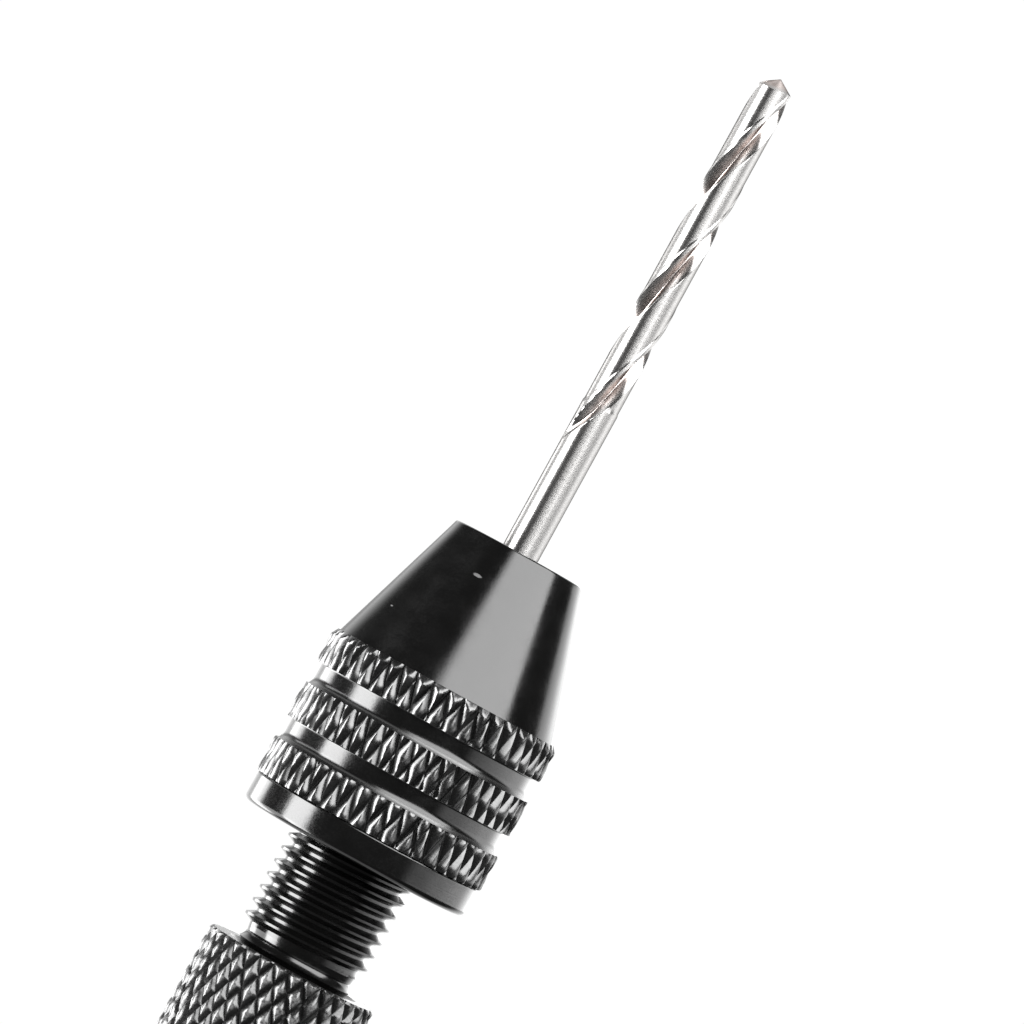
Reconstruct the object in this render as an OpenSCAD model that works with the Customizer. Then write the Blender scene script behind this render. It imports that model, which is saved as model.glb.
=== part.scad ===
// A pin vise drill: a small hand drill. A keyless three-jaw chuck screws on a knurled
// handle, and a cap turns freely on a ball bearing under the palm.
// The tool's axis is Z. Z = 0 is the flat end of the cap, and the drill points to +Z.
// Everything is in millimetres, with the jaws closed on the drill.

/* [Swivel cap] */
// Radius of the cap's rim
cap_r = 6; // [5.6:0.1:7]
// Height of the cap
cap_h = 8.6; // [8.4:0.1:8.8]
// Radius of the waist beside the handle
cap_waist_r = 5.15; // [4.9:0.05:5.4]
// Height of the full-width rim above the flat end
cap_rim_h = 5.2; // [4.6:0.1:5.6]
// Rounding of the edge at the flat end
cap_round = 0.9; // [0.4:0.1:1.2]
// Radius of the disc that closes the end of the cap
palm_disc_r = 3.8; // [3.5:0.1:4.2]
// How far the disc lies below the flat end
palm_disc_recess = 0.15; // [0.1:0.05:0.2]

/* [Bearing] */
// Radius of the bearing's races
race_r = 4; // [3.9:0.05:4]
// Thickness of a race
race_h = 1; // [0.8:0.1:1]
// Space between the two races
race_gap = 1.5; // [1.5:0.02:1.56]
// Radius of a ball
ball_r = 0.794; // [0.79:0.001:0.8]
// Radius of the circle through the balls' centres
ball_circle_r = 2.75; // [2.7:0.05:2.8]
// Number of balls
ball_count = 8; // [6:1:8]
// Radius of the axle's shoulder
axle_r = 1.5; // [1.4:0.05:1.5]

/* [Handle] */
// Radius over the knurl
handle_r = 4.75; // [4.5:0.05:5.2]
// Length of the handle
handle_len = 55; // [45:1:80]
// Chamfer round each end of the handle
handle_chamfer = 0.25; // [0.1:0.05:0.5]
// Gap between the handle and the cap
cap_gap = 0.4; // [0.3:0.1:0.6]

/* [Spindle] */
// Outer radius of the chuck thread
thread_r = 3.5; // [3.4:0.1:3.6]
// Pitch of the chuck thread
thread_pitch = 0.75; // [0.7:0.05:0.8]
// Length of the plain neck below the thread
neck_len = 1; // [0.6:0.1:1.5]
// Radius of the plain neck
neck_r = 3; // [2.8:0.05:3]
// Length of the shank pressed into the handle
shank_len = 14; // [10:1:18]
// Radius of the hole that takes a drill's shank
spindle_bore_r = 1.7; // [1.65:0.05:1.8]
// Depth of the hole that takes a drill's shank
spindle_bore_len = 18; // [17:1:20]

/* [Chuck] */
// Radius of the nose's face
nose_r = 3.65; // [3.5:0.05:3.9]
// Length of the cone from the nose's face to the first ring
cone_len = 7.75; // [7.5:0.25:8.5]
// Radius at the wide end of the cone
cone_r = 6.17; // [6:0.05:6.3]
// Radius over the knurled rings
ring_r = 6.5; // [6.4:0.05:7]
// Length of a knurled ring
ring_len = 1.95; // [1.8:0.05:2]
// Radius of the grooves between the rings
groove_r = 6.15; // [6:0.05:6.3]
// Length of a groove
groove_len = 1.2; // [1.1:0.05:1.3]
// Number of knurled rings
ring_count = 3; // [3:1:4]
// Radius of the base ring's flange
flange_r = 6.35; // [6.2:0.05:6.4]
// Length of the base ring's flange
flange_len = 1.6; // [1.4:0.1:2]
// Length of thread seen between the flange and the neck, chuck closed on the drill
open_thread_len = 5.4; // [4:0.1:6]

/* [Jaws] */
// Half-angle of the cone that closes the jaws
jaw_angle = 15.5; // [14:0.5:16]
// Radius of the mouth in the nose
mouth_r = 2.55; // [2.5:0.05:2.6]
// Gap between neighbouring jaws
jaw_gap = 1.5; // [1.3:0.1:1.6]
// Length of a jaw
jaw_len = 10; // [9.5:0.25:10]
// How far the chuck travels along the thread from closed to open
chuck_travel = 2.2; // [1.5:0.1:2.2]
// Radius of the wire of a jaw spring
spring_wire_r = 0.09; // [0.07:0.01:0.1]

/* [Drill] */
// Radius of the drill
drill_r = 1; // [0.9:0.05:1]
// Length of the drill
drill_len = 49; // [46:1:50]
// Length of drill in front of the nose
drill_reach = 27.7; // [26:0.1:30]
// Length of the flutes
flute_len = 21.4; // [15:0.1:24]
// Lead of the flutes
flute_lead = 14.3; // [12:0.1:18]

/* [Hidden] */
$fn = 96;

// Clearances: between parts that slide or turn on each other, and between faces that meet
slide_gap = 0.03;
face_gap = 0.02;
// Length that a cutter runs past the face it cuts
over = 0.5;

// Heights along the axis, from the flat end of the cap up
palm_disc_h = 1;
palm_disc_top = palm_disc_recess + palm_disc_h;
head_h = 1.4;
head_r = 2.6;
head_slot_w = 0.6;
head_slot_h = 0.6;
head_bottom = palm_disc_top + 0.2;
head_top = head_bottom + head_h;
washer_h = 0.4;
washer_r = 2.9;
web_bottom = head_top + washer_h + 2 * face_gap;
handle_bottom = cap_h + cap_gap;
race_upper_bottom = handle_bottom - race_h;
race_lower_top = race_upper_bottom - race_gap;
web_top = race_lower_top - race_h;
ball_z = race_lower_top + race_gap / 2;
handle_top = handle_bottom + handle_len;
thread_bottom = handle_top + neck_len;
flange_bottom = thread_bottom + open_thread_len;
chuck_len = cone_len + ring_count * ring_len + (ring_count - 1) * groove_len + flange_len;
nose_z = flange_bottom + chuck_len;
flange_top = flange_bottom + flange_len;

// Inside of the cap
head_pocket_r = 3.3;
bush_r = 2.3;
race_pocket_r = race_r + 0.06;
groove_gap = 0.026;
cage_h = 0.5;
cage_rim = 1;

// Axle screw's thread in the handle
axle_thread_r = 1.25;
axle_thread_len = 5;

// Inside of the chuck: the jaws' cone runs into a plain bore
jaw_nose_gap = 0.3;
jaw_cone_len = 9;
jaw_slope = tan(jaw_angle);
sleeve_bore_r = mouth_r + jaw_cone_len * jaw_slope;
jaw_top = nose_z - jaw_nose_gap;
jaw_bottom = jaw_top - jaw_len;
jaw_back_r = mouth_r + (jaw_cone_len - chuck_travel) * jaw_slope - slide_gap;
jaw_front_r = mouth_r + jaw_nose_gap * jaw_slope - slide_gap;
jaw_taper_len = (jaw_back_r - jaw_front_r) / jaw_slope;
stop_gap = 0.1;
base_top = jaw_bottom - chuck_travel - stop_gap;
thrust_disc_h = 1;
thrust_disc_r = 2.95;
spindle_top = jaw_bottom - thrust_disc_h;
base_bore_r = thread_r + slide_gap;

// Jaw section: two side faces 120 degrees apart, and a narrow land that grips the drill
jaw_turns = [0, 120, 240];
jaw_tip_x = jaw_gap / 2 / sin(60);
jaw_land_x = drill_r + 0.01;
jaw_land_y = (jaw_land_x - jaw_tip_x) * tan(60);
jaw_far_x = 5.5;
jaw_far_y = (jaw_far_x - jaw_tip_x) * tan(60);

// Springs between the jaws, and the pockets they sit in
spring_coil_r = 0.45;
spring_turns = 7;
spring_pocket_r = 0.6;
spring_pocket_len = 0.9;
spring_out = 2.9;
spring_z = jaw_bottom + 2.3;
spring_len = 2 * (jaw_gap / 2 + spring_pocket_len - face_gap - spring_wire_r);

// Thread form: fractions of the pitch where the profile turns, and the radius there
thread_depth = 0.61343 * thread_pitch;
thread_steps = [0, 5 / 16, 7 / 16, 3 / 4];
thread_radii = [thread_r - thread_depth, thread_r, thread_r, thread_r - thread_depth];
thread_sides = 36;

// Drill: where it ends, its point, and the two round flutes cut in it
drill_tip = nose_z + drill_reach;
drill_bottom = drill_tip - drill_len;
flute_bottom = drill_tip - flute_len;
point_angle = 118;
point_h = drill_r / tan(point_angle / 2);
flute_r = 0.62;
flute_out = 0.8;
flute_slices = 36;

// A washer-shaped solid from one height to another
module tube(r_out, r_in, z0, z1) {
    translate([0, 0, z0])
        difference() {
            cylinder(r = r_out, h = z1 - z0);
            translate([0, 0, -over]) cylinder(r = r_in, h = z1 - z0 + 2 * over);
        }
}

// A solid cylinder from one height to another
module rod(r, z0, z1) {
    translate([0, 0, z0]) cylinder(r = r, h = z1 - z0);
}

// Points of an arc round a centre, from one angle to another
function arc(cx, cy, r, a0, a1, steps = 6) =
    [for (i = [0:steps]) let (a = a0 + (a1 - a0) * i / steps) [cx + r * cos(a), cy + r * sin(a)]];

// Vertex number of a threaded rod's surface, where a whole turn climbs by one pitch
function thread_vertex(row, side) =
    side == thread_sides ? thread_vertex(row + len(thread_steps), 0) : row * thread_sides + side;

// A right-hand threaded rod, a little ragged at its ends, which the caller trims
module threaded_rod(turns) {
    steps = len(thread_steps);
    rows = turns * steps;
    shell = [
        for (row = [0:rows + steps], side = [0:thread_sides - 1])
            let (
                step = row % steps,
                climb = floor(row / steps) + thread_steps[step] + side / thread_sides,
                a = 360 * side / thread_sides
            )
            [thread_radii[step] * cos(a), thread_radii[step] * sin(a), thread_pitch * climb]
    ];
    bottom = len(shell);
    top = bottom + 1;
    ends = [[0, 0, 0], [0, 0, thread_pitch * (turns + 1)]];
    walls = [
        for (row = [0:rows - 1], side = [0:thread_sides - 1])
            let (
                a = thread_vertex(row, side),
                b = thread_vertex(row, side + 1),
                c = thread_vertex(row + 1, side + 1),
                d = thread_vertex(row + 1, side)
            )
            each [[a, c, b], [a, d, c]]
    ];
    bottom_fan = [
        for (side = [0:thread_sides - 1])
            [bottom, thread_vertex(0, side), thread_vertex(0, side + 1)]
    ];
    top_fan = [
        for (side = [0:thread_sides - 1])
            [top, thread_vertex(rows, side + 1), thread_vertex(rows, side)]
    ];
    bottom_step = [
        for (row = [0:steps - 1]) [bottom, thread_vertex(row + 1, 0), thread_vertex(row, 0)]
    ];
    top_step = [
        for (row = [rows:rows + steps - 1]) [top, thread_vertex(row, 0), thread_vertex(row + 1, 0)]
    ];
    polyhedron(
        points = concat(shell, ends),
        faces = concat(walls, bottom_fan, top_fan, bottom_step, top_step)
    );
}

// A coil of round wire along Z, centred on the origin
module coil(length, turns, coil_r, wire_r) {
    per_turn = 12;
    sides = 6;
    rings = turns * per_turn;
    wire = [
        for (i = [0:rings], k = [0:sides - 1])
            let (a = 360 * i / per_turn, b = 360 * k / sides, r = coil_r + wire_r * cos(b))
            [r * cos(a), r * sin(a), length * (i / rings - 0.5) + wire_r * sin(b)]
    ];
    skin = [
        for (i = [0:rings - 1], k = [0:sides - 1])
            let (a = i * sides + k, b = i * sides + (k + 1) % sides)
            each [[a, b, b + sides], [a, b + sides, a + sides]]
    ];
    start_end = [[for (k = [sides - 1:-1:0]) k], [for (k = [0:sides - 1]) rings * sides + k]];
    polyhedron(points = wire, faces = concat(skin, start_end));
}

module swivel_cap() {
    rim_edge = arc(cap_r - cap_round, cap_round, cap_round, -90, 0);
    slope = cap_r - cap_waist_r;
    color([0.1, 0.1, 0.11])
        difference() {
            rotate_extrude()
                polygon(concat(
                    [[0, 0]],
                    rim_edge,
                    [
                        [cap_r, cap_rim_h],
                        [cap_waist_r, cap_rim_h + slope],
                        [cap_waist_r, cap_h],
                        [0, cap_h]
                    ]
                ));
            rod(palm_disc_r, -over, palm_disc_top);
            rod(head_pocket_r, 0, web_bottom);
            rod(bush_r, 0, cap_h);
            rod(race_pocket_r, web_top, cap_h + over);
        }
}

module palm_disc() {
    color([0.62, 0.63, 0.65]) rod(palm_disc_r, palm_disc_recess, palm_disc_top);
}

module axle_bush() {
    color([0.75, 0.6, 0.3]) tube(bush_r, axle_r + slide_gap, web_bottom, web_top);
}

module head_washer() {
    color([0.7, 0.7, 0.72])
        tube(washer_r, axle_r + slide_gap, head_top + face_gap, web_bottom - face_gap);
}

module axle_screw() {
    color([0.55, 0.55, 0.57])
        difference() {
            union() {
                rod(head_r, head_bottom, head_top);
                rod(axle_r, head_top, handle_bottom);
                rod(axle_thread_r, handle_bottom, handle_bottom + axle_thread_len);
            }
            translate([-head_r - over, -head_slot_w / 2, head_bottom - over])
                cube([2 * (head_r + over), head_slot_w, head_slot_h + over]);
        }
}

// A race of the thrust bearing, with the track that the balls roll in
module bearing_race(z0, bore_r) {
    color([0.72, 0.72, 0.74])
        difference() {
            tube(race_r, bore_r, z0, z0 + race_h);
            translate([0, 0, ball_z])
                rotate_extrude()
                    translate([ball_circle_r, 0])
                        circle(r = ball_r + groove_gap, $fn = 48);
        }
}

module bearing_race_lower() {
    bearing_race(web_top, axle_r + 0.1);
}

module bearing_race_upper() {
    bearing_race(race_upper_bottom, axle_r + face_gap);
}

module ball_cage() {
    color([0.75, 0.62, 0.32])
        difference() {
            translate([0, 0, ball_z])
                tube(ball_circle_r + cage_rim, ball_circle_r - cage_rim, -cage_h / 2, cage_h / 2);
            for (i = [0:ball_count - 1])
                rotate(360 * i / ball_count)
                    translate([ball_circle_r, 0, ball_z - cage_h])
                        cylinder(r = ball_r + slide_gap, h = 2 * cage_h);
        }
}

module bearing_balls() {
    color([0.85, 0.85, 0.87])
        for (i = [0:ball_count - 1])
            rotate(360 * i / ball_count)
                translate([ball_circle_r, 0, ball_z])
                    sphere(r = ball_r, $fn = 32);
}

module handle_body() {
    inner = handle_r - handle_chamfer;
    mouth = 0.4;
    color([0.2, 0.2, 0.21])
        difference() {
            rotate_extrude()
                polygon([
                    [0, handle_bottom],
                    [inner, handle_bottom],
                    [handle_r, handle_bottom + handle_chamfer],
                    [handle_r, handle_top - handle_chamfer],
                    [inner, handle_top],
                    [0, handle_top]
                ]);
            rod(neck_r, handle_top - shank_len, handle_top + over);
            translate([0, 0, handle_top - mouth])
                cylinder(r1 = neck_r, r2 = neck_r + mouth * 2, h = mouth * 2);
            rod(axle_thread_r, handle_bottom - over, handle_bottom + axle_thread_len + 1);
        }
}

module spindle() {
    turns = ceil((spindle_top - thread_bottom) / thread_pitch) + 2;
    chamfer = 0.4;
    inner = thread_r - chamfer;
    color([0.12, 0.12, 0.13])
        difference() {
            union() {
                intersection() {
                    translate([0, 0, thread_bottom - 1.5 * thread_pitch]) threaded_rod(turns + 1);
                    rotate_extrude()
                        polygon([
                            [0, thread_bottom],
                            [inner, thread_bottom],
                            [thread_r + over, thread_bottom + chamfer + over],
                            [thread_r + over, spindle_top - chamfer - over],
                            [inner, spindle_top],
                            [0, spindle_top]
                        ]);
                }
                rod(neck_r, handle_top - shank_len, thread_bottom);
            }
            rod(spindle_bore_r, spindle_top - spindle_bore_len, spindle_top + over);
        }
}

module thrust_disc() {
    color([0.6, 0.6, 0.62])
        tube(thrust_disc_r, spindle_bore_r + 0.05, spindle_top + face_gap, jaw_bottom - face_gap);
}

module chuck_sleeve() {
    nose_round = 0.2;
    lip = 0.08;
    rings_top = nose_z - cone_len;
    step = ring_len + groove_len;
    rings = [
        for (i = [0:ring_count - 1])
            let (top = rings_top - i * step, below = i < ring_count - 1 ? groove_r : flange_r - lip)
            each [
                [ring_r - lip, top],
                [ring_r, top - lip],
                [ring_r, top - ring_len + lip],
                [ring_r - lip, top - ring_len],
                if (i < ring_count - 1) [below, top - ring_len],
                if (i < ring_count - 1) [below, top - step]
            ]
    ];
    color([0.05, 0.05, 0.055])
        difference() {
            rotate_extrude()
                polygon(concat(
                    [[0, nose_z]],
                    arc(nose_r - nose_round, nose_z - nose_round, nose_round, 90, 15, 4),
                    [[cone_r, rings_top]],
                    rings,
                    [[0, flange_top]]
                ));
            translate([0, 0, nose_z - jaw_cone_len])
                cylinder(r1 = sleeve_bore_r, r2 = mouth_r, h = jaw_cone_len);
            rod(mouth_r, nose_z - over, nose_z + over);
            rod(sleeve_bore_r, flange_top - over, nose_z - jaw_cone_len);
        }
}

module chuck_base_ring() {
    edge = 0.5;
    color([0.06, 0.06, 0.065])
        difference() {
            rotate_extrude()
                polygon(concat(
                    [[0, flange_bottom]],
                    arc(flange_r - edge, flange_bottom + edge, edge, -90, 0),
                    [
                        [flange_r, flange_top],
                        [sleeve_bore_r, flange_top],
                        [sleeve_bore_r, base_top],
                        [0, base_top]
                    ]
                ));
            rod(base_bore_r, flange_bottom - over, base_top + over);
        }
}

// One jaw, with a pocket for a spring in each side face
module jaw(turn) {
    color([0.66, 0.66, 0.68])
        rotate(turn)
            difference() {
                intersection() {
                    union() {
                        rod(jaw_back_r, jaw_bottom, jaw_top - jaw_taper_len);
                        translate([0, 0, jaw_top - jaw_taper_len])
                            cylinder(r1 = jaw_back_r, r2 = jaw_front_r, h = jaw_taper_len);
                    }
                    translate([0, 0, jaw_bottom - over])
                        linear_extrude(jaw_len + 2 * over)
                            polygon([
                                [jaw_land_x, jaw_land_y],
                                [jaw_land_x, -jaw_land_y],
                                [jaw_far_x, -jaw_far_y],
                                [jaw_far_x, jaw_far_y]
                            ]);
                }
                for (side = [-1, 1])
                    rotate(60 * side)
                        translate([spring_out, 0, spring_z])
                            rotate([90 * side, 0, 0])
                                cylinder(r = spring_pocket_r, h = jaw_gap / 2 + spring_pocket_len);
            }
}

// The spring between a jaw and the next one
module jaw_spring(turn) {
    color([0.8, 0.8, 0.82])
        rotate(turn + 60)
            translate([spring_out, 0, spring_z])
                rotate([90, 0, 0])
                    coil(spring_len, spring_turns, spring_coil_r, spring_wire_r);
}

module jaw_1() {
    jaw(jaw_turns[0]);
}

module jaw_2() {
    jaw(jaw_turns[1]);
}

module jaw_3() {
    jaw(jaw_turns[2]);
}

module jaw_spring_1() {
    jaw_spring(jaw_turns[0]);
}

module jaw_spring_2() {
    jaw_spring(jaw_turns[1]);
}

module jaw_spring_3() {
    jaw_spring(jaw_turns[2]);
}

// Section of the fluted part
module flute_section() {
    difference() {
        circle(r = drill_r, $fn = 24);
        for (side = [0, 180])
            rotate(side)
                translate([flute_out, 0])
                    circle(r = flute_r, $fn = 16);
    }
}

module drill_bit() {
    wide = drill_r + over;
    turn = 360 * flute_len / flute_lead;
    color([0.78, 0.77, 0.75]) {
        rod(drill_r, drill_bottom, flute_bottom);
        intersection() {
            translate([0, 0, flute_bottom])
                linear_extrude(flute_len, segments = 1, twist = -turn, slices = flute_slices)
                    flute_section();
            translate([0, 0, flute_bottom - over])
                rotate_extrude()
                    polygon([
                        [0, 0],
                        [wide, 0],
                        [wide, flute_len + over - point_h * wide / drill_r],
                        [0, flute_len + over]
                    ]);
        }
    }
}

swivel_cap();
palm_disc();
axle_bush();
head_washer();
axle_screw();
bearing_race_lower();
bearing_race_upper();
ball_cage();
bearing_balls();
handle_body();
spindle();
thrust_disc();
chuck_sleeve();
chuck_base_ring();
jaw_1();
jaw_2();
jaw_3();
jaw_spring_1();
jaw_spring_2();
jaw_spring_3();
drill_bit();
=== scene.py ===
"""A pin vise drill: knurled handle, keyless three-jaw chuck, twist drill and swivel cap.

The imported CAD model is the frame. Shapes are worked out in millimetres and become metres
when a mesh is made. The tool's axis is Z, and the drill points up.
"""
import math

import bmesh
import bpy
import numpy as np
from mathutils import Matrix, Vector


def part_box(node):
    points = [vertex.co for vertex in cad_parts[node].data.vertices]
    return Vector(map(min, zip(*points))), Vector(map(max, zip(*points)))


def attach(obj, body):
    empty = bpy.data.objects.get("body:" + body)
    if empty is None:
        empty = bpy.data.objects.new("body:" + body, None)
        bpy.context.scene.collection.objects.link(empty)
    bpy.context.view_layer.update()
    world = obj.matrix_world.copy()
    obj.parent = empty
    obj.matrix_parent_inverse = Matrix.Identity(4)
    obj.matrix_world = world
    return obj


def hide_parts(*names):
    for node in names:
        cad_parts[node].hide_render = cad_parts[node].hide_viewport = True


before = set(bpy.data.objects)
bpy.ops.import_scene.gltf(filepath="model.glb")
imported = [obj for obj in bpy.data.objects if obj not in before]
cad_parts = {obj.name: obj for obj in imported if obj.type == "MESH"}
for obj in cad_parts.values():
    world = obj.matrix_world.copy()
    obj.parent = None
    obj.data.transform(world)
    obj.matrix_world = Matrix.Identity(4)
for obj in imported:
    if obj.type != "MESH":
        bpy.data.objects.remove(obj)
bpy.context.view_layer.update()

MM = 0.001
TAU = 2 * math.pi


# ---------------------------------------------------------------- sizes

def heights(node):
    """Lowest and highest point of a CAD node, in mm."""
    low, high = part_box(node)
    return low[2] / MM, high[2] / MM


def outer_r(node):
    """Outer radius of a CAD node that is centred on the axis, in mm."""
    low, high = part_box(node)
    return (high[0] - low[0]) / 2 / MM


SLEEVE_BOTTOM, NOSE_Z = heights("chuck_sleeve")
FLANGE_BOTTOM, SPIGOT_TOP = heights("chuck_base_ring")
HANDLE_BOTTOM, HANDLE_TOP = heights("handle_body")
SHANK_BOTTOM, SPINDLE_TOP = heights("spindle")
DRILL_BOTTOM, DRILL_TIP = heights("drill_bit")
CAP_TOP = heights("swivel_cap")[1]
DISC_BOTTOM, DISC_TOP = heights("palm_disc")
BUSH_BOTTOM, BUSH_TOP = heights("axle_bush")

RING_R = outer_r("chuck_sleeve")
FLANGE_R = outer_r("chuck_base_ring")
HANDLE_R = outer_r("handle_body")
THREAD_R = outer_r("spindle")
DRILL_R = outer_r("drill_bit")
CAP_R = outer_r("swivel_cap")
DISC_R = outer_r("palm_disc")

# Chuck sleeve, from the nose down
NOSE_R = 3.65
NOSE_ROUND = 0.12
CONE_LEN = 7.75
CONE_R = 6.17
RING_COUNT = 3
RING_LEN = 1.95
GROOVE_LEN = 1.2
GROOVE_R = 6.15
MOUTH_R = 2.55
JAW_CONE_LEN = 9.0
BORE_R = 5.046
SPIGOT_R = 5.02

# Knurls: grooves of each hand round the part, their lean from the axis and their depth.
# A trim is the length of the chamfer at the end of a knurled band, and a fall is how steeply
# it drops. Steps are the mesh lines from one groove to the next.
RING_TEETH = 45
RING_LEAN = math.radians(17)
RING_DEPTH = 0.3
RING_TRIM = 0.1
TOP_RING_TRIM = 0.38
RING_FALL = 0.6
RING_STEPS = 8
HANDLE_TEETH = 32
HANDLE_LEAN = math.radians(27)
HANDLE_DEPTH = 0.3
HANDLE_TRIM = 0.16
HANDLE_FALL = 1.0
HANDLE_STEPS = 6
# A tooth's section is a sine to this power, and each groove strays by up to these shares of
# the grooves' spacing and of their depth.
TOOTH_POWER = 0.85
STRAY_PLACE = 0.1
STRAY_DEPTH = 0.18

# Spindle. The thread's flats are shares of its pitch.
THREAD_PITCH = 0.75
THREAD_DEPTH = 0.46
THREAD_CREST = 0.16
THREAD_ROOT = 0.2
THREAD_FADE = 0.3
NECK_R = 3.02
NECK_LEN = 1.0
SPINDLE_BORE_R = 1.7
SPINDLE_BORE_LEN = 18.0

# Drill. The web is the core's share of the radius, and the skew sets the flute's deepest point.
FLUTE_LEAD = 14.3
FLUTE_LEN = 21.4
FLUTE_RUNOUT = 4.0
FLUTE_WIDTH = math.radians(64)
FLUTE_TURN = math.radians(-8)
FLUTE_SKEW = 0.85
WEB = 0.47
MARGIN = math.radians(14)
BODY_R = 0.965 * DRILL_R
POINT_HALF_ANGLE = math.radians(59)


# ---------------------------------------------------------------- mesh tools

SAME_ANGLE = 1e-6


def finish_mesh(obj, smooth_below):
    """Points the faces outward and shades smooth, but for edges sharper than the angle."""
    bm = bmesh.new()
    bm.from_mesh(obj.data)
    bmesh.ops.recalc_face_normals(bm, faces=bm.faces)
    bm.to_mesh(obj.data)
    bm.free()
    obj.data.shade_smooth()
    obj.data.set_sharp_from_angle(angle=math.radians(smooth_below))


def arc(centre_r, centre_z, radius, start, end, steps=6):
    """(r, z) points of an arc, from one angle to another in degrees."""
    angles = np.radians(np.linspace(start, end, steps + 1))
    return [(centre_r + radius * math.cos(a), centre_z + radius * math.sin(a)) for a in angles]


class Skin:
    """A closed surface made of loops of points round the axis, each joined to the one before.

    pen is the (r, z) of the last circle, or None after a loop that isn't a circle.
    """

    def __init__(self, columns):
        self.angles = np.arange(columns) * TAU / columns
        self.points = []
        self.faces = []
        self.first = None
        self.last = None
        self.pen = None

    def follow(self, loop):
        """Joins a loop of point numbers to the last one."""
        if self.last is None:
            self.first = loop
        else:
            self.stitch(self.last, loop)
        self.last = loop

    def line(self, profile):
        """Goes on through circles at these (r, z) points. A radius of 0 is a single point.

        A long stretch gets an extra circle near each end, which keeps its shading flat.
        """
        margin = 0.04
        for r, z in profile:
            if self.pen is not None and math.dist(self.pen, (r, z)) > 5 * margin:
                step = (Vector((r, z)) - Vector(self.pen)).normalized() * margin
                self.circle(self.pen[0] + step[0], self.pen[1] + step[1])
                self.circle(r - step[0], z - step[1])
            self.circle(r, z)
            self.pen = (r, z)

    def circle(self, r, z):
        """Goes on through one circle round the axis."""
        start = len(self.points)
        angles = self.angles if r > 0 else [0]
        self.points += [(r * math.cos(a), r * math.sin(a), z) for a in angles]
        self.follow(list(range(start, len(self.points))))

    def loop(self, points):
        """Goes on through ready-made points, each joined to its own point of the last loop."""
        start = len(self.points)
        count = len(points)
        self.points += points
        for i in range(count):
            j = (i + 1) % count
            self.faces.append((self.last[i], self.last[j], start + j, start + i))
        self.last = list(range(start, start + count))
        self.pen = None

    def band(self, points, faces, entry, leave):
        """Goes on through a ready-made band, from its entry loop to its leave loop."""
        start = len(self.points)
        self.points += [tuple(p) for p in points]
        self.faces += [tuple(start + i for i in face) for face in faces]
        self.follow([start + i for i in entry])
        self.last = [start + i for i in leave]
        self.pen = None

    def stitch(self, low, high):
        """Fills between two loops that go round in step, whatever their numbers of points."""
        turn_low = self.unrolled(low)
        turn_high = self.unrolled(high)
        i = j = 0
        while i < len(low) or j < len(high):
            a, b = low[i % len(low)], high[j % len(high)]
            level = abs(turn_low[i + 1] - turn_high[j + 1]) < SAME_ANGLE
            if level and len(low) == len(high) and i < len(low):
                self.faces.append((a, low[(i + 1) % len(low)], high[(j + 1) % len(high)], b))
                i += 1
                j += 1
            elif j == len(high) or (i < len(low) and turn_low[i + 1] <= turn_high[j + 1]):
                if len(low) > 1:
                    self.faces.append((a, low[(i + 1) % len(low)], b))
                i += 1
            else:
                if len(high) > 1:
                    self.faces.append((a, high[(j + 1) % len(high)], b))
                j += 1

    def unrolled(self, loop):
        """The loop's angles, going on past a full turn."""
        turn = [math.atan2(self.points[i][1], self.points[i][0]) % TAU for i in loop]
        turn = [a - TAU if a > TAU - SAME_ANGLE else a for a in turn]
        return turn + [turn[0] + TAU, math.inf]

    def build(self, name, ring=False, smooth_below=35):
        """The finished object. A ring's last loop joins its first."""
        if ring:
            self.stitch(self.last, self.first)
        mesh = bpy.data.meshes.new(name)
        mesh.from_pydata(np.array(self.points) * MM, [], self.faces)
        obj = bpy.data.objects.new(name, mesh)
        bpy.context.scene.collection.objects.link(obj)
        finish_mesh(obj, smooth_below)
        return obj


def cut_band(points, faces, z0, z1, rows=()):
    """The part of a band between two heights: (points, faces, low loop, high loop).

    Extra rows of points are cut in at the heights in rows.
    """
    mesh = bpy.data.meshes.new("band")
    mesh.from_pydata(points, [], faces)
    bm = bmesh.new()
    bm.from_mesh(mesh)
    bpy.data.meshes.remove(mesh)
    cuts = [(z0, True, False), (z1, False, True)]
    cuts += [(z, False, False) for z in rows]
    for z, clear_below, clear_above in cuts:
        bmesh.ops.bisect_plane(
            bm, geom=bm.verts[:] + bm.edges[:] + bm.faces[:], dist=1e-4,
            plane_co=(0, 0, z), plane_no=(0, 0, 1),
            clear_inner=clear_below, clear_outer=clear_above,
        )
    bm.verts.index_update()
    kept = np.array([v.co for v in bm.verts])
    kept_faces = [tuple(v.index for v in f.verts) for f in bm.faces]
    edge = {v.index for e in bm.edges if len(e.link_faces) == 1 for v in e.verts}
    bm.free()
    turn = np.arctan2(kept[:, 1], kept[:, 0]) % TAU
    turn[turn > TAU - SAME_ANGLE] -= TAU

    def rim(z):
        """The band's open edge at a height, as point numbers in their order round the axis."""
        at_height = [i for i in edge if abs(kept[i, 2] - z) < 1e-3]
        return sorted(at_height, key=lambda i: turn[i])

    return kept, kept_faces, rim(z0), rim(z1)


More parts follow.
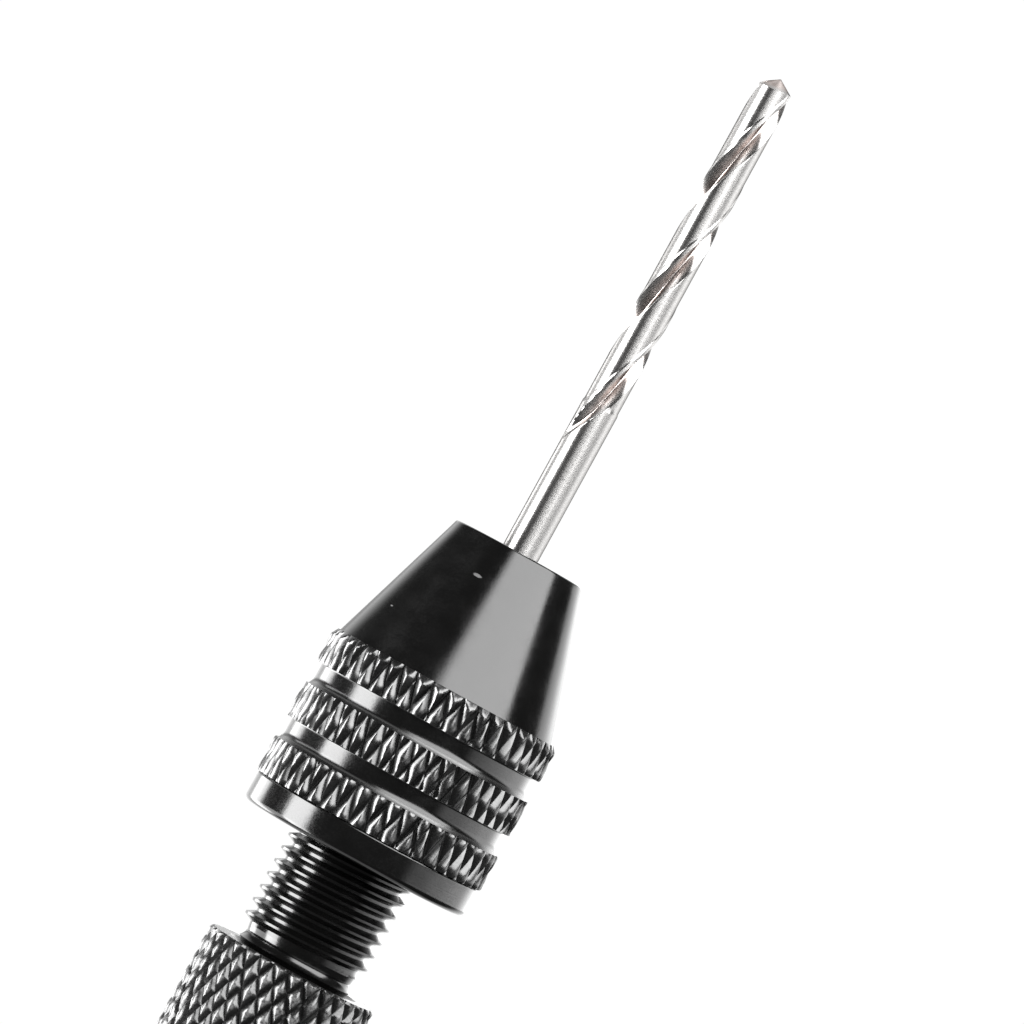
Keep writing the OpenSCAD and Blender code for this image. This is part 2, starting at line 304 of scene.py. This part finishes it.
def knurl(radius, teeth, lean, depth, z0, z1, trim, fall, steps, seed, shift=0.0):
    """A band of diamond knurl, as cut_band gives it.

    Two families of grooves lean to either side of the axis. u and v count the grooves of each
    family, and the mesh lines follow them in a number of steps, so that each tooth is rounded
    over its crest and sharp in its valleys. Each groove strays a little from its place and its
    depth. trim holds the lengths of the chamfers at the low and the high end, and fall is how
    steeply they drop. shift moves the teeth along the axis by a share of their length.
    """
    rng = np.random.default_rng(seed)
    strays = rng.uniform(-1, 1, (4, teeth))
    grooves = np.arange(teeth)
    per_mm = teeth * math.tan(lean) / (TAU * radius)
    reach = math.ceil((z1 - z0) * per_mm) + 2
    i = np.arange(steps * teeth)[None, :]
    d = np.arange(-reach * steps, reach * steps + 1)[:, None]
    u = i / steps + 0 * d
    v = (i - d) / steps
    flanks = []
    places = []
    for count, place_stray, depth_stray in ((u, strays[0], strays[1]), (v, strays[2], strays[3])):
        tooth = np.sin(math.pi * (count % 1)) ** TOOTH_POWER
        deep = 1 + STRAY_DEPTH * np.interp(count, grooves, depth_stray, period=teeth)
        flanks.append(1 - deep * (1 - tooth))
        places.append(count + STRAY_PLACE * np.interp(count, grooves, place_stray, period=teeth))
    height = np.minimum(*flanks)
    theta = (places[0] + places[1]) / 2 * TAU / teeth
    z = (z0 + z1) / 2 + (places[0] - places[1] + shift) / (2 * per_mm)
    r = radius - depth * (1 - height)
    points = np.stack([r * np.cos(theta), r * np.sin(theta), z], axis=-1).reshape(-1, 3)

    def corner(d_step, i_step):
        """Point numbers of one corner of every cell."""
        row = d[1:-1] + reach * steps + d_step
        return row * steps * teeth + (i + i_step) % (steps * teeth)

    # A cell is split along its higher diagonal, which keeps the ridges whole.
    corners = [corner(0, 0), corner(1, 1), corner(0, 1), corner(-1, 0)]
    flat = height.reshape(-1)
    along = flat[corners[0]] + flat[corners[2]]
    across = flat[corners[1]] + flat[corners[3]]
    cells = np.stack(corners, axis=-1).reshape(-1, 4)
    leads = (along - across).reshape(-1)
    faces = []
    for (a, b, c, e), lead in zip(cells.tolist(), leads.tolist()):
        if abs(lead) < 1e-6:
            faces.append((a, b, c, e))
        elif lead > 0:
            faces += [(a, b, c), (a, c, e)]
        else:
            faces += [(a, b, e), (b, c, e)]
    rows = (z0 + trim[0], z1 - trim[1])
    points, faces, low, high = cut_band(points, faces, z0, z1, rows)
    r = np.hypot(points[:, 0], points[:, 1])
    into_trim = np.maximum(rows[0] - points[:, 2], points[:, 2] - rows[1]).clip(0)
    limit = radius - fall * into_trim
    points[:, :2] *= (np.minimum(r, limit) / r)[:, None]
    return points, faces, low, high


def thread(radius, depth, pitch, z0, z1, fade):
    """A band of right-hand thread, as cut_band gives it, that rises from its root over fade mm."""
    per_turn = 96
    crest_at = 0.5 - THREAD_CREST / 2
    root_at = THREAD_ROOT / 2
    stops = np.array([root_at, crest_at, 1 - crest_at, 1 - root_at])
    rise = np.array([0, 1, 1, 0])
    n = len(stops)
    rows = n * (math.ceil((z1 - z0) / pitch) + 3)
    column = np.arange(per_turn)[None, :]
    row = np.arange(rows)[:, None]
    z = z0 - 1.5 * pitch + pitch * (row // n + stops[row % n] + column / per_turn)
    theta = column * TAU / per_turn + 0 * z
    swell = ((z - z0) / fade).clip(0, 1)
    r = radius - depth + depth * rise[row % n] * swell
    points = np.stack([r * np.cos(theta), r * np.sin(theta), z], axis=-1).reshape(-1, 3)
    faces = []
    for k in range(rows - 1):
        start = k * per_turn
        for c in range(per_turn - 1):
            faces.append((start + c, start + c + 1, start + per_turn + c + 1, start + per_turn + c))
        # The last column meets the first one a pitch higher.
        if k + 1 + n < rows:
            end = start + per_turn - 1
            first = (k + n) * per_turn
            faces.append((end, first, first + per_turn, end + per_turn))
    return cut_band(points, faces, z0, z1)


# ---------------------------------------------------------------- pieces

def make_chuck_sleeve():
    """The cone, three knurled rings with grooves between them, and the bore that holds the jaws."""
    skin = Skin(360)
    lip = 0.1
    sweep_len = 0.5
    sweep_curve = 0.6
    groove_round = 0.06
    mouth_edge = 0.12
    skin.line([(BORE_R, SLEEVE_BOTTOM + lip), (BORE_R + lip, SLEEVE_BOTTOM)])
    skin.line([(GROOVE_R, SLEEVE_BOTTOM)])
    z = SLEEVE_BOTTOM
    for ring in range(RING_COUNT):
        last = ring == RING_COUNT - 1
        trim = (RING_TRIM, TOP_RING_TRIM if last else RING_TRIM)
        shift = 0.0 if ring == 1 else 0.5
        skin.band(*knurl(RING_R, RING_TEETH, RING_LEAN, RING_DEPTH, z, z + RING_LEN,
                         trim, RING_FALL, RING_STEPS, 20 + ring, shift))
        z += RING_LEN
        if not last:
            for h in np.linspace(0, sweep_len, 8):
                skin.line([(GROOVE_R + sweep_curve * (sweep_len - h) ** 2, z + h)])
            z += GROOVE_LEN
            skin.line(arc(GROOVE_R + groove_round, z - groove_round, groove_round, 180, 90, 3))
    slope = (CONE_R - NOSE_R) / CONE_LEN
    tilt = math.degrees(math.atan(slope))
    skin.line([(CONE_R, z)])
    for h in np.linspace(0.5, CONE_LEN - 0.5, 6):
        skin.line([(CONE_R - slope * h, z + h)])
    round_z = NOSE_Z - NOSE_ROUND
    round_r = NOSE_R - NOSE_ROUND + slope * NOSE_ROUND
    skin.line(arc(round_r, round_z, NOSE_ROUND, tilt, 90, 5))
    skin.line([(MOUTH_R + mouth_edge, NOSE_Z), (MOUTH_R, NOSE_Z - mouth_edge)])
    for h in np.linspace(1, JAW_CONE_LEN, 5):
        skin.line([(MOUTH_R + (BORE_R - MOUTH_R) * h / JAW_CONE_LEN, NOSE_Z - h)])
    skin.line([(BORE_R, NOSE_Z - JAW_CONE_LEN - 1)])
    return skin.build("chuck_sleeve_detailed", ring=True)


def make_base_ring():
    """The plain flange under the rings, with its spigot up inside the sleeve."""
    skin = Skin(240)
    bore_r = THREAD_R + 0.03
    bore_edge = 0.3
    spigot_edge = 0.15
    top_round = 0.1
    bottom_round = 0.3
    flange_top = SLEEVE_BOTTOM - 0.02
    skin.line([(bore_r, SPIGOT_TOP - bore_edge), (bore_r + bore_edge, SPIGOT_TOP)])
    skin.line([(SPIGOT_R - spigot_edge, SPIGOT_TOP), (SPIGOT_R, SPIGOT_TOP - spigot_edge)])
    skin.line([(SPIGOT_R, flange_top), (FLANGE_R - 0.16, flange_top)])
    skin.line(arc(FLANGE_R - top_round, flange_top - top_round, top_round, 90, 0, 4))
    skin.line(arc(FLANGE_R - bottom_round, FLANGE_BOTTOM + bottom_round, bottom_round, 0, -90, 8))
    skin.line([(bore_r + 0.45, FLANGE_BOTTOM), (bore_r, FLANGE_BOTTOM + 0.35)])
    return skin.build("chuck_base_ring_detailed", ring=True)


def make_spindle():
    """The threaded spindle that the chuck screws on, with its collar, hollow neck and bead."""
    skin = Skin(144)
    shank_r = NECK_R - 0.02
    shank_edge = 0.3
    collar_r = NECK_R + 0.14
    hollow_z = HANDLE_TOP + 0.22
    bead_z = HANDLE_TOP + 0.57
    bead_round = 0.4
    thread_z = HANDLE_TOP + NECK_LEN
    thread_end = SPINDLE_TOP - 0.45
    root_r = THREAD_R - THREAD_DEPTH
    bore_edge = 0.15
    bore_end = SPINDLE_TOP - SPINDLE_BORE_LEN
    skin.line([(0, SHANK_BOTTOM), (shank_r - shank_edge, SHANK_BOTTOM)])
    skin.line([(shank_r, SHANK_BOTTOM + shank_edge), (shank_r, HANDLE_TOP - 0.1)])
    skin.line([(collar_r, hollow_z - 0.02)])
    for z in np.linspace(hollow_z, bead_z, 9):
        skin.line([(NECK_R - 0.03 + (bead_z + 0.1 - z) ** 2, z)])
    skin.line(arc(shank_r - bead_round, bead_z + 0.2, bead_round, -25, -9, 5))
    skin.line([(root_r, thread_z - 0.02)])
    skin.band(*thread(THREAD_R, THREAD_DEPTH, THREAD_PITCH, thread_z, thread_end, THREAD_FADE))
    skin.line([(root_r, thread_end + 0.1), (root_r - 0.2, SPINDLE_TOP)])
    skin.line([(SPINDLE_BORE_R + bore_edge, SPINDLE_TOP)])
    skin.line([(SPINDLE_BORE_R, SPINDLE_TOP - bore_edge)])
    skin.line([(SPINDLE_BORE_R, bore_end), (0, bore_end - 1)])
    return skin.build("spindle_detailed")


def make_handle():
    """The diamond-knurled handle, with a countersunk mouth for the spindle."""
    skin = Skin(192)
    face_r = HANDLE_R - HANDLE_DEPTH - 0.2
    mouth_r = NECK_R + 0.2
    countersink = 0.4
    skin.line([(0, HANDLE_BOTTOM), (face_r, HANDLE_BOTTOM)])
    skin.band(*knurl(HANDLE_R, HANDLE_TEETH, HANDLE_LEAN, HANDLE_DEPTH, HANDLE_BOTTOM, HANDLE_TOP,
                     (HANDLE_TRIM, HANDLE_TRIM), HANDLE_FALL, HANDLE_STEPS, 5))
    skin.line([(face_r, HANDLE_TOP), (mouth_r + countersink, HANDLE_TOP)])
    skin.line([(mouth_r, HANDLE_TOP - countersink), (0, HANDLE_TOP - countersink)])
    return skin.build("handle_detailed")


def flute_radius(phi, shallow):
    """Drill radius at an angle of its cross-section. shallow is what the flutes lack of full depth.

    The land behind a flute lies a little low, but for its margin and where the flutes run out.
    """
    turn = (phi - FLUTE_TURN) % math.pi
    if turn < FLUTE_WIDTH:
        dip = (1 - WEB) * math.sin(math.pi * (turn / FLUTE_WIDTH) ** FLUTE_SKEW)
        return DRILL_R * (1 - max(dip - shallow, 0))
    on_margin = math.pi - turn < MARGIN
    return DRILL_R if on_margin or shallow > 0.1 else BODY_R


def make_drill():
    """A twist drill with two right-hand helical flutes that run out at a plain shank."""
    skin = Skin(120)
    end_round = 0.12
    slice_len = 0.13
    relief_depth = 0.1
    relief_turn = 0.25
    flute_z = DRILL_TIP - FLUTE_LEN
    point_z = DRILL_TIP - DRILL_R / math.tan(POINT_HALF_ANGLE) - 0.12
    skin.line([(0, DRILL_BOTTOM), (DRILL_R - end_round, DRILL_BOTTOM)])
    skin.line(arc(DRILL_R - end_round, DRILL_BOTTOM + end_round, end_round, -60, 0, 3))
    skin.line([(DRILL_R, z) for z in np.linspace(NOSE_Z - 4, flute_z - 0.1, 6)])
    for z in np.arange(flute_z, point_z, slice_len):
        runout = max(1 - (z - flute_z) / FLUTE_RUNOUT, 0)
        twist = TAU * (z - flute_z) / FLUTE_LEAD
        section = []
        for phi in skin.angles:
            r = flute_radius(phi, (1 - WEB) * runout ** 2)
            section.append((r * math.cos(phi + twist), r * math.sin(phi + twist), z))
        skin.loop(section)
    twist = TAU * (point_z - flute_z) / FLUTE_LEAD
    for share in (1.0, 0.82, 0.62, 0.42, 0.2):
        section = []
        for phi in skin.angles:
            r = flute_radius(phi, 0) * share
            relief = relief_depth * r * (1 - math.cos(2 * (phi + relief_turn)))
            z = DRILL_TIP - r / math.tan(POINT_HALF_ANGLE) - relief
            section.append((r * math.cos(phi + twist), r * math.sin(phi + twist), z))
        skin.loop(section)
    skin.line([(0, DRILL_TIP)])
    return skin.build("drill_detailed", smooth_below=40)


def make_swivel_cap():
    """The free-turning cap: a rounded rim with turned grooves, and a waist beside the handle.

    Its bottom is at z = 0.
    """
    skin = Skin(240)
    bush_hole_r = 2.34
    head_room_r = 3.3
    disc_seat_r = DISC_R + 0.02
    disc_seat_edge = 0.12
    bottom_round = 0.9
    groove_half = 0.16
    groove_depth = 0.13
    rim_top = 5.2
    waist_r = 5.15
    waist_z = rim_top + CAP_R - waist_r
    waist_edge = 0.15
    race_seat_r = 4.06
    skin.line([(bush_hole_r, BUSH_BOTTOM), (head_room_r, BUSH_BOTTOM)])
    skin.line([(head_room_r, DISC_TOP), (disc_seat_r, DISC_TOP)])
    skin.line([(disc_seat_r, disc_seat_edge), (disc_seat_r + disc_seat_edge, 0)])
    skin.line(arc(CAP_R - bottom_round, bottom_round, bottom_round, -90, 0, 10))
    for groove_z in (1.9, 2.7, 3.5):
        skin.line([(CAP_R, groove_z - groove_half), (CAP_R - groove_depth, groove_z)])
        skin.line([(CAP_R, groove_z + groove_half)])
    skin.line([(CAP_R, rim_top - 0.1), (CAP_R - 0.08, rim_top + 0.08)])
    skin.line([(waist_r + 0.1, waist_z - 0.1), (waist_r, waist_z + 0.1)])
    skin.line([(waist_r, CAP_TOP - waist_edge), (waist_r - waist_edge, CAP_TOP)])
    skin.line([(race_seat_r + 0.1, CAP_TOP), (race_seat_r, CAP_TOP - 0.1)])
    skin.line([(race_seat_r, BUSH_TOP), (bush_hole_r, BUSH_TOP)])
    return skin.build("swivel_cap_detailed", ring=True)


def make_palm_disc():
    """The disc that closes the end of the cap, with a shallow dished face."""
    skin = Skin(160)
    edge = 0.1
    dish = 0.22
    skin.line([(0, DISC_TOP), (DISC_R - edge, DISC_TOP), (DISC_R, DISC_TOP - edge)])
    skin.line([(DISC_R, DISC_BOTTOM + edge), (DISC_R - edge, DISC_BOTTOM)])
    for share in (0.9, 0.7, 0.5, 0.3, 0.12):
        skin.line([(DISC_R * share, DISC_BOTTOM + dish * (1 - share ** 2))])
    skin.line([(0, DISC_BOTTOM + dish)])
    return skin.build("palm_disc_detailed")


# ---------------------------------------------------------------- materials

class Nodes:
    """Short calls for building a node tree."""

    def __init__(self, tree):
        self.tree = tree

    def add(self, kind, inputs=(), **settings):
        """A node. inputs are (socket, value or output) pairs."""
        node = self.tree.nodes.new(kind)
        for key, value in settings.items():
            setattr(node, key, value)
        for socket, value in inputs:
            self.put(node.inputs[socket], value)
        return node

    def put(self, socket, value):
        """Links an output to the socket, or sets the socket to a plain value."""
        if isinstance(value, bpy.types.NodeSocket):
            self.tree.links.new(value, socket)
        else:
            socket.default_value = value

    def maths(self, operation, a, b=0.0, clamp=False):
        """One step of arithmetic."""
        node = self.add("ShaderNodeMath", [(0, a), (1, b)], operation=operation, use_clamp=clamp)
        return node.outputs[0]

    def product(self, first, *others):
        """All the values multiplied together."""
        for other in others:
            first = self.maths("MULTIPLY", first, other)
        return first

    def split(self, vector):
        """The three parts of a vector."""
        return self.add("ShaderNodeSeparateXYZ", [(0, vector)]).outputs

    def spread(self, value, low, high, to_low=0.0, to_high=1.0):
        """Maps a range of values smoothly to another range."""
        inputs = [("Value", value), ("From Min", low), ("From Max", high),
                  ("To Min", to_low), ("To Max", to_high)]
        return self.add("ShaderNodeMapRange", inputs, interpolation_type="SMOOTHSTEP").outputs[0]


class Finish(Nodes):
    """Short calls for building a material."""

    def __init__(self, name):
        self.material = bpy.data.materials.new(name)
        self.material.use_nodes = True
        super().__init__(self.material.node_tree)

    def place(self):
        """The point on the piece in mm, in the piece's own frame."""
        coords = self.add("ShaderNodeTexCoord").outputs["Object"]
        inputs = [(0, coords), ("Scale", 1 / MM)]
        return self.add("ShaderNodeVectorMath", inputs, operation="SCALE").outputs[0]

    def radius(self, place):
        """Distance from the axis in mm."""
        x, y = self.split(place)[:2]
        square = self.maths("ADD", self.maths("MULTIPLY", x, x), self.maths("MULTIPLY", y, y))
        return self.maths("SQRT", square)

    def turned(self, place):
        """Coordinates that run along a lathe-turned surface: constant round the axis."""
        z = self.split(place)[2]
        return self.add("ShaderNodeCombineXYZ", [(0, self.radius(place)), (1, z)]).outputs[0]

    def noise(self, vector, scale, detail, roughness=0.5):
        """Cloudy noise between 0 and 1. A larger scale is finer."""
        inputs = [("Vector", vector), ("Scale", scale), ("Detail", detail),
                  ("Roughness", roughness)]
        return self.add("ShaderNodeTexNoise", inputs).outputs["Fac"]

    def mix(self, share, a, b):
        """A colour between two."""
        node = self.add("ShaderNodeMix", [(0, share), (6, a), (7, b)], data_type="RGBA")
        return node.outputs[2]

    def bump(self, height, distance, normal=None):
        """A normal for fine relief, distance mm deep, on top of another one."""
        inputs = [("Height", height), ("Distance", distance * MM), ("Strength", 1.0)]
        if normal is not None:
            inputs.append(("Normal", normal))
        return self.add("ShaderNodeBump", inputs).outputs[0]

    def surface(self, **sockets):
        """The finished material, with these values or outputs on the shader's sockets."""
        shader = self.tree.nodes["Principled BSDF"]
        for name, value in sockets.items():
            self.put(shader.inputs[name.replace("_", " ")], value)
        return self.material


def grey(level, tint=(1.0, 1.0, 1.0)):
    """A grey, or nearly grey with a tint."""
    return tuple(level * t for t in tint) + (1.0,)


def black_finish(name, knurl_from=None, crest_r=None, base=0.002, roughness=0.15, nicks=()):
    """Gloss black oxide on turned steel.

    Outside the radius knurl_from it is rubbed thin, and most of all toward the radius crest_r.
    nicks are (x, y, z, size) of pale marks, in mm.
    """
    g = Finish(name)
    place = g.place()
    cloud = g.noise(place, 0.9, 3)
    fine = g.noise(place, 9, 3)
    lathe = g.noise(g.turned(place), 14, 3)
    colour = g.mix(cloud, grey(base * 0.7), grey(base * 1.3, (1.0, 0.99, 0.97)))
    rough = g.spread(g.maths("ADD", cloud, fine), 0.7, 1.3, roughness * 0.8, roughness * 1.3)
    knurled = 0.0
    if knurl_from is not None:
        knurled = g.spread(g.radius(place), knurl_from, knurl_from + 0.06)
        crest = g.spread(g.radius(place), crest_r - 0.12, crest_r)
        rubbed = g.maths("MULTIPLY", crest, g.spread(fine, 0.35, 0.75), clamp=True)
        colour = g.mix(knurled, colour, grey(0.11))
        colour = g.mix(rubbed, colour, grey(0.17))
        rough = g.maths("ADD", rough, g.maths("MULTIPLY", knurled, 0.12))
    for x, y, z, size in nicks:
        # A nick is three times as long round the chuck as along it.
        inputs = [(0, place), (1, (1, 1, 3)), (2, (-x, -y, -3 * z))]
        stretched = g.add("ShaderNodeVectorMath", inputs, operation="MULTIPLY_ADD").outputs[0]
        away = g.add("ShaderNodeVectorMath", [(0, stretched)], operation="LENGTH").outputs["Value"]
        ragged = g.maths("ADD", away, g.maths("MULTIPLY", fine, 0.5 * size))
        marked = g.spread(ragged, 0.9 * size, 1.4 * size, 1.0, 0.0)
        colour = g.mix(marked, colour, grey(0.12))
    normal = g.bump(fine, 0.0015, g.bump(lathe, 0.0012))
    return g.surface(Base_Color=colour, Roughness=rough, Metallic=knurled, Normal=normal, IOR=1.58)


def handle_finish():
    """Dark anodised aluminium, rubbed to bright metal on the crests of the knurl."""
    g = Finish("handle_knurl_finish")
    place = g.place()
    fine = g.noise(place, 7, 3)
    cloud = g.noise(place, 0.6, 2)
    crest = g.spread(g.radius(place), HANDLE_R - 0.13, HANDLE_R - 0.02)
    rubbed = g.maths("MULTIPLY", crest, g.spread(fine, 0.25, 0.6), clamp=True)
    colour = g.mix(cloud, grey(0.004), grey(0.008))
    colour = g.mix(rubbed, colour, grey(0.12))
    rough = g.spread(fine, 0.3, 0.7, 0.2, 0.32)
    return g.surface(Base_Color=colour, Roughness=rough, Normal=g.bump(fine, 0.002), IOR=1.75)


def metal_finish(name, colour, stain, roughness=0.25, lathe_depth=0.002, lathe_scale=12):
    """Bare metal with turning or grinding lines round the axis, and a little staining."""
    g = Finish(name)
    place = g.place()
    lathe = g.noise(g.turned(place), lathe_scale, 4, 0.65)
    cloud = g.noise(place, 1.2, 3)
    fine = g.noise(place, 10, 2)
    tone = g.mix(g.spread(cloud, 0.35, 0.7), colour, stain)
    tone = g.mix(g.spread(lathe, 0.4, 0.75, 0.0, 0.25), tone, grey(0.25))
    rough = g.spread(g.maths("ADD", lathe, fine), 0.7, 1.3, roughness * 0.75, roughness * 1.3)
    normal = g.bump(fine, 0.001, g.bump(lathe, lathe_depth))
    return g.surface(Base_Color=tone, Roughness=rough, Metallic=1.0, Normal=normal)


def drill_finish():
    """Ground high-speed steel: bright outside, with a warm brownish tint down in the flutes."""
    g = Finish("drill_finish")
    place = g.place()
    depth = g.spread(g.radius(place), 0.55, 0.97, 1.0, 0.0)
    rings = g.noise(g.turned(place), 16, 4, 0.7)
    cloud = g.noise(place, 2.2, 3)
    fine = g.noise(place, 14, 3)
    pale = grey(0.6, (1.0, 0.9, 0.86))
    brown = grey(0.45, (1.0, 0.88, 0.83))
    flute = g.mix(g.spread(cloud, 0.35, 0.65), pale, brown)
    tone = g.mix(depth, grey(0.5, (1.0, 0.985, 0.97)), flute)
    tone = g.mix(g.spread(fine, 0.55, 0.8, 0.0, 0.12), tone, grey(0.3))
    rough = g.spread(g.maths("ADD", rings, fine), 0.7, 1.3, 0.24, 0.31)
    normal = g.bump(fine, 0.0006, g.bump(rings, 0.0015))
    tangent = g.add("ShaderNodeTangent", direction_type="RADIAL", axis="Z").outputs[0]
    return g.surface(Base_Color=tone, Roughness=rough, Metallic=1.0, Normal=normal, Tangent=tangent,
                     Anisotropic=0.73, Anisotropic_Rotation=0.25, Specular_Tint=grey(0.1))


def dress(obj, material):
    """Gives the object this one material."""
    obj.data.materials.clear()
    obj.data.materials.append(material)


# ---------------------------------------------------------------- the tool

WHITE_WARM = (1.0, 0.97, 0.93)
WHITE_COOL = (0.98, 0.99, 1.0)
NICKS = [
    (-1.36, -4.09, 85.96, 0.26),
    (-4.42, -3.13, 82.56, 0.12),
    (1.1, -3.62, 87.3, 0.07),
    (3.9, 2.6, 84.9, 0.12),
    (-2.2, 4.1, 83.4, 0.13),
]
chuck_black = black_finish("chuck_black_finish", CONE_R + 0.01, RING_R, nicks=NICKS)
plain_black = black_finish("plain_black_finish")
cap_black = black_finish("cap_finish", base=0.014, roughness=0.22)
steel = metal_finish("bright_steel_finish", grey(0.55, (1.0, 0.99, 0.97)), grey(0.45, WHITE_WARM))
bearing_steel = metal_finish("bearing_steel_finish", grey(0.6), grey(0.5, (0.97, 0.99, 1.0)),
                             roughness=0.14, lathe_depth=0.001)
spring_steel = metal_finish("spring_steel_finish", grey(0.4, WHITE_WARM), grey(0.3),
                            roughness=0.3, lathe_depth=0.001)
jaw_steel = metal_finish("jaw_steel_finish", grey(0.3, (1.0, 0.98, 0.95)), grey(0.2),
                         roughness=0.3, lathe_depth=0.003)
brass = metal_finish("bearing_brass_finish", (0.6, 0.42, 0.16, 1), (0.45, 0.3, 0.12, 1),
                     roughness=0.28)
aluminium = metal_finish("plain_aluminium_finish", grey(0.72), grey(0.6, WHITE_COOL),
                         roughness=0.26, lathe_depth=0.006, lathe_scale=9)

PIECES = [
    (make_chuck_sleeve, "chuck", ["chuck_sleeve"], "chuck_black", chuck_black),
    (make_base_ring, "chuck", ["chuck_base_ring"], "chuck_black", plain_black),
    (make_spindle, "handle", ["spindle"], "spindle_black", plain_black),
    (make_handle, "handle", ["handle_body"], "handle_knurl", handle_finish()),
    (make_drill, "drill", ["drill_bit"], "drill_steel", drill_finish()),
    (make_swivel_cap, "cap", ["swivel_cap"], "cap_anodised", cap_black),
    (make_palm_disc, "cap", ["palm_disc"], "plain_aluminium", aluminium),
]
for make, body, nodes, slot, material in PIECES:
    piece = make()
    dress(piece, material)
    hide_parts(*nodes)
    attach(piece, body)

CARRIED = {
    "axle_bush": brass, "head_washer": steel, "axle_screw": steel,
    "bearing_race_lower": bearing_steel, "bearing_race_upper": bearing_steel,
    "ball_cage": brass, "bearing_balls": bearing_steel, "thrust_disc": steel,
    "jaw_1": jaw_steel, "jaw_2": jaw_steel, "jaw_3": jaw_steel,
    "jaw_spring_1": spring_steel, "jaw_spring_2": spring_steel, "jaw_spring_3": spring_steel,
}
for node, material in CARRIED.items():
    dress(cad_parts[node], material)


# ---------------------------------------------------------------- studio

def make_light():
    """Light from all round the tool, and plain white behind it for the camera.

    A key light stands in front, a strip and three cards on the left, a glow on the right and a
    pale backdrop behind, with weaker light from right above and from below. Angles are in
    degrees. Azimuth runs from the camera's side (-Y) toward +X, and elevation upward.
    """
    world = bpy.data.worlds.new("studio")
    bpy.context.scene.world = world
    world.use_nodes = True
    g = Nodes(world.node_tree)
    g.tree.nodes.clear()
    x, y, z = g.split(g.add("ShaderNodeTexCoord").outputs["Generated"])
    to_degrees = 180 / math.pi
    azimuth = g.product(g.maths("ARCTAN2", x, g.product(y, -1.0)), to_degrees)
    elevation = g.product(g.maths("ARCSINE", z), to_degrees)
    behind = g.maths("ABSOLUTE", azimuth)

    def window(level, az, el, az_soft=(4, 4), el_soft=(4, 4)):
        """A soft-edged rectangle of light between two azimuths and two elevations."""
        return g.product(
            level,
            g.spread(azimuth, az[0] - az_soft[0], az[0] + az_soft[0]),
            g.spread(azimuth, az[1] + az_soft[1], az[1] - az_soft[1]),
            g.spread(elevation, el[0] - el_soft[0], el[0] + el_soft[0]),
            g.spread(elevation, el[1] + el_soft[1], el[1] - el_soft[1]),
        )

    # The key light's lower edge is a shallow V, lowest in its middle.
    off_middle = g.maths("ABSOLUTE", g.maths("SUBTRACT", azimuth, 32.0))
    key_edge = g.maths("ADD", g.product(off_middle, 0.31), 9.0)
    over_edge = g.spread(g.maths("SUBTRACT", elevation, key_edge), -2.0, 2.0)
    key = g.product(window(7.5, az=(-10, 73), el=(5, 50), az_soft=(8, 3)), over_edge)

    # The glow is brightest at the side, and its upper edge climbs toward the back.
    glow_edge = g.product(g.maths("SUBTRACT", azimuth, 48.0), 0.25)
    under_edge = g.spread(g.maths("SUBTRACT", glow_edge, elevation), -2.0, 2.0)
    rising = g.spread(azimuth, 55, 105, 1.4, 2.6)
    falling = g.spread(azimuth, 112, 136, 1.0, 0.65)
    glow = g.product(window(1.0, az=(52, 182), el=(-3.2, 20), az_soft=(8, 1), el_soft=(0.7, 4)),
                     under_edge, rising, falling)

    # The backdrop is darker in a band a little above the horizon.
    in_band = g.product(g.spread(elevation, 1.0, 3.0), g.spread(elevation, 9.0, 6.0))
    dimmed = g.maths("SUBTRACT", 1.0, g.product(in_band, 0.6))
    backdrop = g.product(g.spread(behind, 122, 150, 0.0, 1.4), dimmed)

    strip = window(15.0, az=(-82, -54), el=(-40, 18), az_soft=(3, 3))
    low_card = window(3.5, az=(-124, -66), el=(-40, -8), az_soft=(3, 3), el_soft=(4, 3))
    high_card = window(3.5, az=(-124, -66), el=(8, 13), az_soft=(3, 3), el_soft=(2, 2))
    rear_card = window(7.5, az=(-144, -119), el=(-40, 1), el_soft=(4, 2))
    zenith = g.spread(elevation, 76, 84, 0.0, 3.0)
    under = g.product(g.spread(elevation, -44, -54, 0.0, 0.9), g.spread(behind, 150, 130))

    total = 0.07
    for part in (key, strip, low_card, high_card, glow, rear_card, backdrop, zenith, under):
        total = g.maths("ADD", part, total)

    white = (1, 1, 1, 1)
    seen = g.add("ShaderNodeBackground", [("Color", white), ("Strength", 1.02)]).outputs[0]
    shed = g.add("ShaderNodeBackground", [("Color", white), ("Strength", total)]).outputs[0]
    by_camera = g.add("ShaderNodeLightPath").outputs["Is Camera Ray"]
    both = g.add("ShaderNodeMixShader", [(0, by_camera), (1, shed), (2, seen)]).outputs[0]
    g.add("ShaderNodeOutputWorld", [(0, both)])


def make_camera():
    """A long lens level with the chuck, rolled so that the tool leans to the right."""
    distance = 330.0
    stand_z = 81.4
    aim = Vector((-1.39, 0, 89.7)) * MM
    roll = math.radians(28.8)
    data = bpy.data.cameras.new("camera")
    data.sensor_width = 36
    data.lens = 227.6
    data.clip_start = 0.01
    camera = bpy.data.objects.new("camera", data)
    bpy.context.scene.collection.objects.link(camera)
    stand = Vector((0, -distance, stand_z)) * MM
    back = (stand - aim).normalized()
    right = Vector((0, 0, 1)).cross(back).normalized()
    up = back.cross(right)
    turned_up = up * math.cos(roll) - right * math.sin(roll)
    turned_right = right * math.cos(roll) + up * math.sin(roll)
    camera.matrix_world = Matrix.Translation(stand) @ Matrix(
        (turned_right, turned_up, back)).transposed().to_4x4()
    bpy.context.scene.camera = camera


make_light()
make_camera()
bpy.context.scene.view_settings.view_transform = "Standard"
